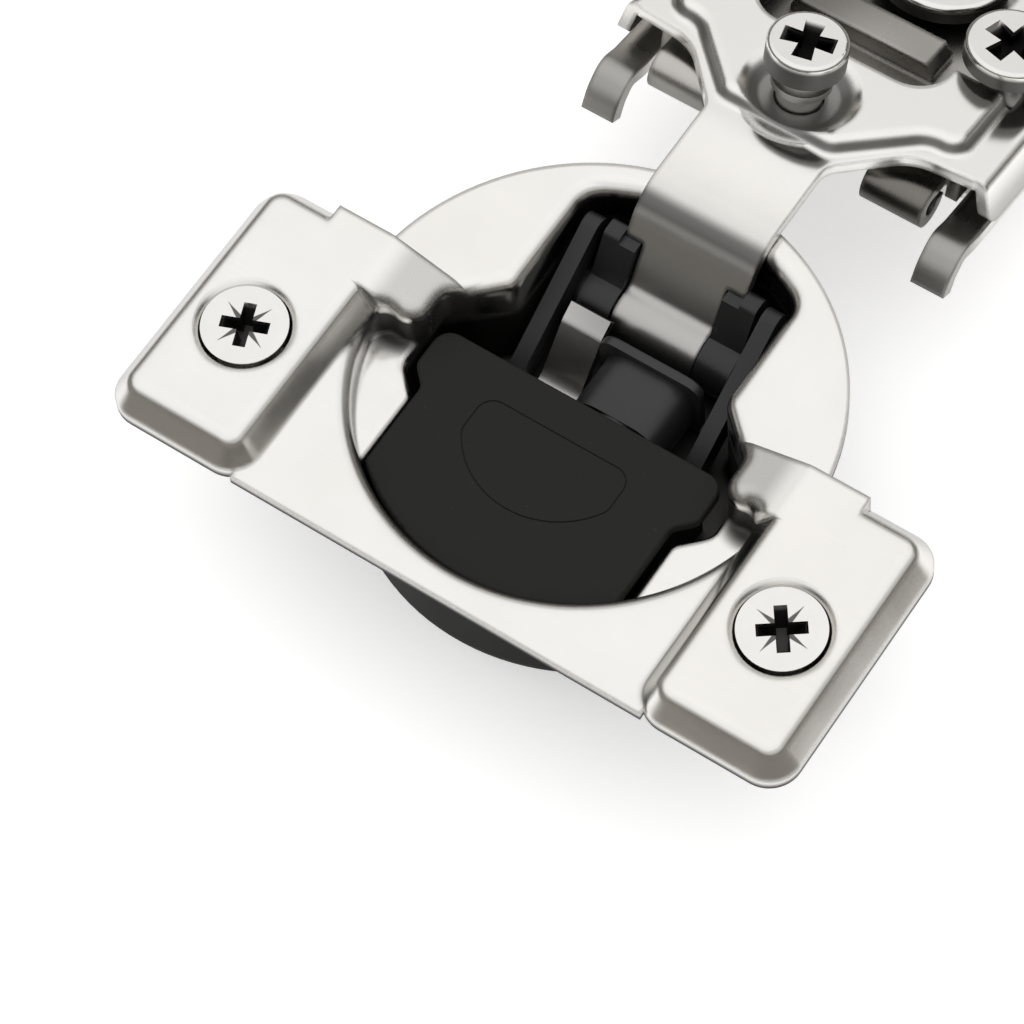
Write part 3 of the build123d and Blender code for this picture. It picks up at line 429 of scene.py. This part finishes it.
# %% Turned steel
turned, given, made = new_group("turned_steel", [
    ("Vector", "NodeSocketVector", None),
    ("Tone", "NodeSocketColor", NICKEL),
    ("Rough", "NodeSocketFloat", 0.2),
    ("Shade", "NodeSocketFloat", 1.0),
])
axes = split(turned, given["Vector"])
ring_place = add_node(turned, "ShaderNodeCombineXYZ")
feed(turned, ring_place.inputs["X"], from_axis(turned, axes))
feed(turned, ring_place.inputs["Y"], axes["Z"])
rings = noise(turned, ring_place.outputs[0], scale=7.0)
clouds = noise(turned, given["Vector"], scale=0.5)
level = add_share(turned, 0.93, rings, 0.07)
level = sway(turned, level, clouds, 0.08)
colour = toned(turned, given["Tone"], calc(turned, "MULTIPLY", level, given["Shade"]))
rough = sway(turned, given["Rough"], rings, 0.12)
rough = add_share(turned, rough, rest_of(turned, given["Shade"]), 0.3)
relief = add_share(turned, calc(turned, "MULTIPLY", rings, 0.6), given["Shade"], 3.0)
close_group(turned, made, colour, rough, relief)
print("turned steel:", len(turned.nodes), "nodes")

# %% [markdown]
# The lid, the cams and the damper are moulded in filled plastic. The mould is spark
# eroded, which leaves a fine pebble, and the melt's flow leaves slow streaks. A little
# dust sits on it as paler specks. The pebble is far too fine to model, so it is bump,
# while flow and dust change colour and gloss.

# %% Moulded plastic
BLACK_PLASTIC = (0.012, 0.012, 0.012, 1)
DUST = (0.25, 0.25, 0.24, 1)
FLOW_STRETCH = (0.5, 0.16, 0.5)

moulded, given, made = new_group("moulded_plastic", [
    ("Vector", "NodeSocketVector", None),
    ("Tone", "NodeSocketColor", BLACK_PLASTIC),
    ("Rough", "NodeSocketFloat", 0.5),
    ("Pebble", "NodeSocketFloat", 1.0),
])
pebble = noise(moulded, given["Vector"], scale=4.5)
flow = noise(moulded, given["Vector"], scale=0.5, stretch=FLOW_STRETCH)
dust = blend_span(moulded, noise(moulded, given["Vector"], scale=2.1, detail=3.0),
                  low=0.70, high=0.76)
level = add_share(moulded, 0.85, flow, 0.30)
level = sway(moulded, level, pebble, 0.25)
colour = mix_colour(moulded, calc(moulded, "MULTIPLY", dust, 0.05),
                    toned(moulded, given["Tone"], level), DUST)
rough = sway(moulded, given["Rough"], flow, 0.16)
rough = add_share(moulded, rough, dust, 0.1)
relief = calc(moulded, "MULTIPLY", pebble, given["Pebble"])
close_group(moulded, made, colour, rough, relief)
print("moulded plastic:", len(moulded.nodes), "nodes")

# %% [markdown]
# A group only works out values. Each piece has a material of its own, in which they
# drive a Principled shader. Real sheet has no knife edges, and a bevel on every edge
# of the model would cost thousands of faces, so a Bevel node bends only the light
# round the edges of the pressed parts.

# %% A finish from a group
BUMP_STRENGTH = 0.6
EDGE_SAMPLES = 4


def new_material(name):
    """A new material with its Principled shader."""
    material = bpy.data.materials.new(name)
    material.use_nodes = True
    return material


def apply_group(material, group, vector, bump, metallic=1.0, round_edge=0.0, **inputs):
    """Drive a Principled shader by a group; light turns round edges within round_edge."""
    tree = material.node_tree
    shader = tree.nodes["Principled BSDF"]
    node = add_node(tree, "ShaderNodeGroup", node_tree=group)
    feed(tree, node.inputs["Vector"], vector)
    for label, value in inputs.items():
        feed(tree, node.inputs[label], value)
    relief = add_node(tree, "ShaderNodeBump", Strength=BUMP_STRENGTH, Distance=bump)
    feed(tree, relief.inputs["Height"], node.outputs["Height"])
    if round_edge > 0:
        edge = add_node(tree, "ShaderNodeBevel", samples=EDGE_SAMPLES, Radius=round_edge)
        feed(tree, relief.inputs["Normal"], edge.outputs[0])
    feed(tree, shader.inputs["Base Color"], node.outputs["Color"])
    feed(tree, shader.inputs["Roughness"], node.outputs["Roughness"])
    feed(tree, shader.inputs["Normal"], relief.outputs[0])
    shader.inputs["Metallic"].default_value = metallic
    lay_out(tree)
    return material


print("bump strength", BUMP_STRENGTH)

# %% [markdown]
# The cup's light is partly painted into its colour. Above the flange it is polished and
# left bright. The skirt of the flange and the drawn wall below it take painted shade, as
# dark as a dark studio would mirror there, and are rougher too. Deep inside, under the
# ledges, painted shade stands for the shadow in the bowl. Two painted shade spots darken
# the hollows and lips beside the necks, where the metal mirrors dark, and the roll of each
# neck is painted darker, a painted reflection. These zones could be painted by hand.
# Height and distance tell them apart just as well, and need no map on the mesh.

# %% The cup
# Painted shade: around each place beside a neck, and only below the flange's top, the
# brightness falls between two distances to a least value. Its X counts for both sides of the cup.
PAINTED_SHADE_SPOTS = (
    ((15.0, -1.4, 0.0), 1.4, 3.0, 0.12),
    ((12.6, 1.6, 0.0), 0.8, 2.6, 0.35),
)
PLATED_BUMP = 1.6e-6
ACROSS_GRAIN = (0.25, 5.0, 5.0)
CUP_TINT = (0.65, 0.65, 0.65, 1)

finish_of = {}
material = new_material("cup_nickel")
tree = material.node_tree
place = millimetres(tree)
axes = split(tree, place)
sideways = calc(tree, "ABSOLUTE", axes["X"])
outside = blend_span(tree, from_axis(tree, axes), low=16.95, high=17.2)
# Painted shade on the skirt and the wall below the flange, and deep inside the bowl.
skirt = blend_span(tree, axes["Z"], low=-0.9, high=0.0, start=0.035)
deep = blend_span(tree, axes["Z"], low=-4.6, high=-3.1, start=0.07)
shade = calc(tree, "ADD", calc(tree, "MULTIPLY", skirt, outside),
             calc(tree, "MULTIPLY", deep, rest_of(tree, outside)))
folded = add_node(tree, "ShaderNodeCombineXYZ")
feed(tree, folded.inputs["X"], sideways)
feed(tree, folded.inputs["Y"], axes["Y"])
on_top = blend_span(tree, axes["Z"], low=-0.6, high=-0.1)
for middle, inner, outer, least in PAINTED_SHADE_SPOTS:
    apart = add_node(tree, "ShaderNodeVectorMath", operation="DISTANCE")
    feed(tree, apart.inputs[0], folded.outputs[0])
    feed(tree, apart.inputs[1], middle)
    unshaded_share = blend_span(tree, apart.outputs["Value"], inner, outer, start=least)
    shade = calc(tree, "MULTIPLY", shade, calc(tree, "MAXIMUM", unshaded_share, on_top))
# A painted reflection: the roll of each neck is painted darker.
saddle = calc(tree, "MULTIPLY", blend_span(tree, axes["Z"], low=0.1, high=0.5),
              blend_span(tree, sideways, low=15.4, high=17.2, start=1.0, end=0.0))
shade = calc(tree, "MULTIPLY", shade, add_share(tree, 1.0, saddle, -0.30))
tree.nodes["Principled BSDF"].inputs["Specular Tint"].default_value = CUP_TINT
finish_of["cup"] = apply_group(material, plated, place, bump=PLATED_BUMP, round_edge=0.0006,
                               Rough=0.15, Shade=shade, Grain=ACROSS_GRAIN)
print("cup finish:", len(tree.nodes), "nodes")

# %% [markdown]
# Arm and plates are blanked from strip, and the strip's lines run along them. Their
# shade is painted into the colour: each is painted darker below a height, and is rougher
# there too. The arm is the brightest, with two painted dark lines, painted reflections
# across the strap's knee and along the wall of the raised field. The plates under it have
# darker tones as painted shade, the slide plate most of all, and the hooks of the base
# plate take more painted shade. A picture could hold all this. One loop does it with a
# row of numbers for each plate: its tone, and the height above which it is bright,
# measured square to the bracket.

# %% The arm and the plates under it
# Roughness, the height below which painted shade darkens it, how bright it is there, and its
# tone.
PLATES = {
    "hinge_arm": (0.15, -3.4, 0.55, NICKEL),
    "slide_plate": (0.26, -5.4, 0.45, (0.17, 0.16, 0.145, 1)),
    "depth_plate": (0.25, -5.0, 0.40, (0.62, 0.60, 0.57, 1)),
    "base_plate": (0.22, -9.5, 0.75, (0.62, 0.60, 0.57, 1)),
}
BRIGHT_RISE = 3.0
ALONG_GRAIN = (5.0, 0.25, 5.0)
# Axis of each painted dark line, where it starts, is full, lasts to and ends, and how bright it
# is.
PAINTED_DARK_LINES = (
    ("Y", -8.5, -7.9, -7.5, -6.6, 0.30),
    ("Z", 0.05, 0.35, 0.65, 1.05, 0.35),
)

for name, (rough, low, dim, tone) in PLATES.items():
    material = new_material(name + "_nickel")
    tree = material.node_tree
    place = millimetres(tree, bracket=True)
    axes = split(tree, place)
    # Painted shade: each plate is painted darker below its given height.
    shade = blend_span(tree, axes["Z"], low, low + BRIGHT_RISE, start=dim)
    # Painted shade on the hooks at the front of the base plate.
    if name == "base_plate":
        hooks = blend_span(tree, axes["Y"], low=4.0, high=8.0, start=0.55)
        shade = calc(tree, "MULTIPLY", shade, hooks)
    # Two painted reflections on the arm: a dark line across the strap's knee and one along the
    # wall of the raised field.
    if name == "hinge_arm":
        for axis, start, full, last, end, least in PAINTED_DARK_LINES:
            line = calc(tree, "MULTIPLY", blend_span(tree, axes[axis], start, full),
                        blend_span(tree, axes[axis], last, end, start=1.0, end=0.0))
            shade = calc(tree, "MULTIPLY", shade, add_share(tree, 1.0, line, least - 1.0))
    finish_of[name] = apply_group(material, plated, place, bump=PLATED_BUMP, round_edge=0.0005,
                                  Rough=rough, Shade=shade, Tone=tone, Grain=ALONG_GRAIN)
print("plate finishes:", list(PLATES))

# %% [markdown]
# A driver's cross is dark because its walls face each other. The cut itself is in the
# model; here it is only filled with shade, below the head's top and near its axis. The
# door screws also carry four fine ticks between the arms of the cross, which tell the
# fitter which driver to take. They are struck a hair deep, so shade alone is enough.

# %% Shade in a screw's cross
CROSS_DARK = 0.93
TICK_DARK = 0.9
NECK_SHADE = 0.6
WALL_FADE = 0.25
FLOOR_FADE = 0.3


def tick_marks(tree, axes, reach):
    """1 on four thin lines between the arms of a cross, pointed at their outer ends."""
    one = calc(tree, "ABSOLUTE", calc(tree, "ADD", axes["X"], axes["Y"]))
    other = calc(tree, "ABSOLUTE", calc(tree, "SUBTRACT", axes["X"], axes["Y"]))
    off_line = calc(tree, "MULTIPLY", calc(tree, "MINIMUM", one, other), math.sqrt(0.5))
    width = blend_span(tree, reach, low=0.6, high=2.35, start=0.20, end=0.015)
    past_side = calc(tree, "SUBTRACT", off_line, width)
    tick = blend_span(tree, past_side, low=-0.03, high=0.04, start=1.0, end=0.0)
    inner = blend_span(tree, reach, low=2.15, high=2.35, start=1.0, end=0.0)
    above = blend_span(tree, axes["Z"], low=-1.9, high=-1.7)
    return calc(tree, "MULTIPLY", tick, calc(tree, "MULTIPLY", inner, above))


def cross_shade(tree, centred, limit, depth, ticks=False, side=1.0):
    """1 on the head, nearly 0 in its cross, side on its side, and dim on the neck below."""
    axes = split(tree, centred)
    reach = from_axis(tree, axes)
    inner = blend_span(tree, reach, limit, limit + WALL_FADE, start=1.0, end=0.0)
    below = blend_span(tree, axes["Z"], low=-0.45, high=-0.05, start=1.0, end=0.0)
    above = blend_span(tree, axes["Z"], -depth - FLOOR_FADE, -depth)
    dark = calc(tree, "MULTIPLY", inner, calc(tree, "MULTIPLY", below, above))
    if ticks:
        marks = calc(tree, "MULTIPLY", tick_marks(tree, axes, reach), TICK_DARK)
        dark = calc(tree, "MAXIMUM", dark, marks)
    rim = blend_span(tree, axes["Z"], low=-0.75, high=-0.3, start=side)
    neck = blend_span(tree, axes["Z"], low=-2.5, high=-2.1, start=NECK_SHADE, end=0.0)
    return calc(tree, "MULTIPLY", add_share(tree, 1.0, dark, -CROSS_DARK),
                calc(tree, "MAXIMUM", rim, neck))


print("a cross keeps", round(1 - CROSS_DARK, 2), "of the light")

# %% [markdown]
# The two door screws point their crosses where the driver left them. Their shade has to
# point the same way, so its coordinates are turned by each screw's own angle.

# %% Door screws
SCREW_X = 22.5
SCREW_Y = -9.5
SCREW_TOP = 2.2
SCREW_TURNS = {"left_door_screw": (-SCREW_X, 21.0), "right_door_screw": (SCREW_X, 36.0)}

for name, (middle_x, turn) in SCREW_TURNS.items():
    material = new_material(name + "_steel")
    tree = material.node_tree
    centred = centre_on(tree, millimetres(tree), (middle_x, SCREW_Y, SCREW_TOP))
    place = swing(tree, centred, "Z_AXIS", -turn)
    shade = cross_shade(tree, place, limit=1.9, depth=1.7, ticks=True)
    finish_of[name] = apply_group(material, turned, place, bump=4e-6, Rough=0.18, Shade=shade)
print("door screws:", list(SCREW_TURNS))

# %% [markdown]
# The three heads on the bracket stand on its tilted plates, so their middles are given
# along the bracket. Their sides are painted dark, a painted reflection of the shaded field
# around.

# %% Screw heads of the bracket
# Middle of the head's top, reach of the cross and its depth.
BRACKET_HEADS = {
    "side_screw": ((0.0, 5.4, 6.2), 2.15, 1.5),
    "height_cam": ((11.0, 16.9, 3.6), 2.35, 1.2),
    "depth_cam": ((1.6, 24.2, 0.7), 2.15, 1.2),
}
# Brightness of the painted reflection on each head's side.
HEAD_SIDE = 0.16

for name, (middle, limit, depth) in BRACKET_HEADS.items():
    material = new_material(name + "_steel")
    tree = material.node_tree
    place = centre_on(tree, millimetres(tree, bracket=True), middle)
    shade = cross_shade(tree, place, limit, depth, side=HEAD_SIDE)
    finish_of[name] = apply_group(material, turned, place, bump=3e-6, Rough=0.18, Shade=shade)
print("bracket heads:", list(BRACKET_HEADS))

# %% [markdown]
# The hinge pin, the two tilt rivets and the damper's rod lie along other axes. Their
# coordinates are swung through a right angle before the rings are drawn, which is
# simpler than a second group for parts that lie down.

# %% Pins, rivets and rod
PIN_TONE = (0.72, 0.705, 0.68, 1)
# Axis to swing round, a point on the pin's own axis, and whether it is on the bracket.
PINS = {
    "hinge_pin": ("Y_AXIS", (0.0, 10.3, -7.3), False),
    "tilt_rivet_left": ("Y_AXIS", (0.0, 32.0, -2.7), True),
    "tilt_rivet_right": ("Y_AXIS", (0.0, 32.0, -2.7), True),
    "damper_rod": ("X_AXIS", (1.7, 0.0, -7.0), False),
}

for name, (axis, middle, bracket) in PINS.items():
    material = new_material(name + "_steel")
    tree = material.node_tree
    centred = centre_on(tree, millimetres(tree, bracket=bracket), middle)
    place = swing(tree, centred, axis, 90.0)
    finish_of[name] = apply_group(material, turned, place, bump=2e-6, Rough=0.22, Tone=PIN_TONE)
print("pins:", list(PINS))

# %% [markdown]
# Plastics: the lid is the mattest and evenest, carrier, cams and sleeves are a deep
# black with a slight gloss, and the damper is a dark grey whose tube takes a soft
# highlight along its length. All share one group, so a row of numbers is enough for
# each.

# %% Plastics
# Tone, roughness, height of the pebble and specular level.
PLASTICS = {
    "cover": ((0.0115, 0.0115, 0.0105, 1), 0.72, 0.8, 0.28),
    "carrier": ((0.009, 0.009, 0.0095, 1), 0.45, 1.0, 0.5),
    "cam_left": ((0.010, 0.010, 0.0105, 1), 0.38, 0.7, 0.5),
    "cam_right": ((0.010, 0.010, 0.0105, 1), 0.38, 0.7, 0.5),
    "pin_sleeve_left": ((0.011, 0.011, 0.012, 1), 0.40, 0.6, 0.5),
    "pin_sleeve_right": ((0.011, 0.011, 0.012, 1), 0.40, 0.6, 0.5),
    "damper_cylinder": ((0.017, 0.017, 0.0185, 1), 0.36, 0.7, 0.5),
    "damper_gland": ((0.010, 0.010, 0.010, 1), 0.5, 0.5, 0.5),
}

for name, (tone, rough, pebble, specular) in PLASTICS.items():
    material = new_material(name + "_plastic")
    tree = material.node_tree
    tree.nodes["Principled BSDF"].inputs["Specular IOR Level"].default_value = specular
    finish_of[name] = apply_group(material, moulded, millimetres(tree), bump=1.2e-5,
                                  metallic=0.0, Tone=tone, Rough=rough, Pebble=pebble)
print("plastics:", list(PLASTICS))

# %% [markdown]
# Slider and spring are hardened steel, oiled and a little darker than the plating. The
# wire was pulled through a die, so its lines run along the coil. The plated group
# serves for both, with a darker tone and a grain of its own.

# %% Slider and spring
# Tone, roughness and grain.
HARDENED = {
    "spring_slider": ((0.34, 0.335, 0.33, 1), 0.30, (5.0, 0.4, 5.0)),
    "closing_spring": ((0.30, 0.295, 0.29, 1), 0.28, (0.8, 6.0, 0.8)),
}

for name, (tone, rough, grain) in HARDENED.items():
    material = new_material(name + "_steel")
    place = millimetres(material.node_tree)
    finish_of[name] = apply_group(material, plated, place, bump=PLATED_BUMP,
                                  Tone=tone, Rough=rough, Grain=grain)
print("hardened steel:", list(HARDENED))

# %% [markdown]
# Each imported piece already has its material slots. The finish goes into the slots, and
# the meshes and their places stay untouched.

# %% Put the finishes on
for name, piece in nodes.items():
    for slot in piece.material_slots:
        slot.material = finish_of[name]
print("finishes on", len(nodes), "nodes")

# %% [markdown]
# A screw stops where the driver leaves it, so no two crosses point the same way. The
# packed screw isn't moved. Each door screw is shown by a copy of itself, turned a
# little about its own axis. The copy's loose triangles are merged first, and the
# normals that they brought along are cleared, so that its round sides shade smoothly.

# %% Door screws as the driver left them
MERGE_DISTANCE = 0.000001
SCREW_SMOOTH = math.radians(30)

for name, (middle_x, turn) in SCREW_TURNS.items():
    screw = bpy.data.objects.new(name + "_set", nodes[name].data.copy())
    bpy.context.scene.collection.objects.link(screw)
    bpy.ops.object.select_all(action="DESELECT")
    screw.select_set(True)
    bpy.context.view_layer.objects.active = screw
    bpy.ops.mesh.customdata_custom_splitnormals_clear()
    bpy.ops.object.mode_set(mode="EDIT")
    bpy.ops.mesh.select_all(action="SELECT")
    bpy.ops.mesh.remove_doubles(threshold=MERGE_DISTANCE)
    bpy.ops.transform.rotate(
        value=-math.radians(turn), orient_axis="Z",
        center_override=(middle_x / PER_METRE, SCREW_Y / PER_METRE, 0))
    bpy.ops.object.mode_set(mode="OBJECT")
    bpy.ops.object.shade_smooth_by_angle(angle=SCREW_SMOOTH)
    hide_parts(name)
    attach(screw, "cup_side")
    print(screw.name, "turned", turn, "degrees,", len(screw.data.vertices), "points")

# %% [markdown]
# The door screws bite into the door with a coarse thread, which the solid model leaves
# as a plain shank. A thread is one sharp ridge that climbs a helix. A Screw modifier
# would wind it in one step. Here a small wedge is laid against the shank once and then
# extruded on and on, each step turned a little round the shank and lowered a little,
# as one winds it by hand. It leaves a plain mesh whose every step can be followed. Both
# ridges take the steel of the left screw.

# %% Thread of a door screw
THREAD_TURNS = 6
STEPS_PER_TURN = 20
PITCH = 0.0013
SHANK_RADIUS = 0.00175
THREAD_TOP = -0.0021
WEDGE_SIDES = 3
WEDGE_RADIUS = 0.00042
THREAD_SMOOTH = math.radians(35)


def wind_thread(name, centre_x, centre_y):
    """One thread ridge round a screw's shank, made of extruded steps."""
    bpy.ops.object.select_all(action="DESELECT")
    bpy.ops.mesh.primitive_circle_add(
        vertices=WEDGE_SIDES, radius=WEDGE_RADIUS, fill_type="NGON",
        location=(centre_x + SHANK_RADIUS, centre_y, THREAD_TOP), rotation=(math.pi / 2, 0, 0))
    ridge = bpy.context.active_object
    ridge.name = name
    bpy.ops.object.transform_apply(location=True, rotation=True, scale=True)
    bpy.ops.object.mode_set(mode="EDIT")
    bpy.ops.mesh.select_all(action="SELECT")
    for _ in range(THREAD_TURNS * STEPS_PER_TURN):
        bpy.ops.mesh.extrude_region_move(
            TRANSFORM_OT_translate={"value": (0, 0, -PITCH / STEPS_PER_TURN)})
        bpy.ops.transform.rotate(
            value=2 * math.pi / STEPS_PER_TURN, orient_axis="Z",
            center_override=(centre_x, centre_y, 0))
    bpy.ops.mesh.select_all(action="SELECT")
    bpy.ops.mesh.normals_make_consistent(inside=False)
    bpy.ops.object.mode_set(mode="OBJECT")
    bpy.ops.object.shade_smooth_by_angle(angle=THREAD_SMOOTH)
    ridge.data.materials.append(finish_of["left_door_screw"])
    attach(ridge, "cup_side")
    return ridge


for name, middle_x in (("thread_left", -SCREW_X), ("thread_right", SCREW_X)):
    ridge = wind_thread(name, middle_x / PER_METRE, SCREW_Y / PER_METRE)
    print(ridge.name, len(ridge.data.polygons), "faces,",
          [round(side * PER_METRE, 2) for side in ridge.dimensions], "mm")
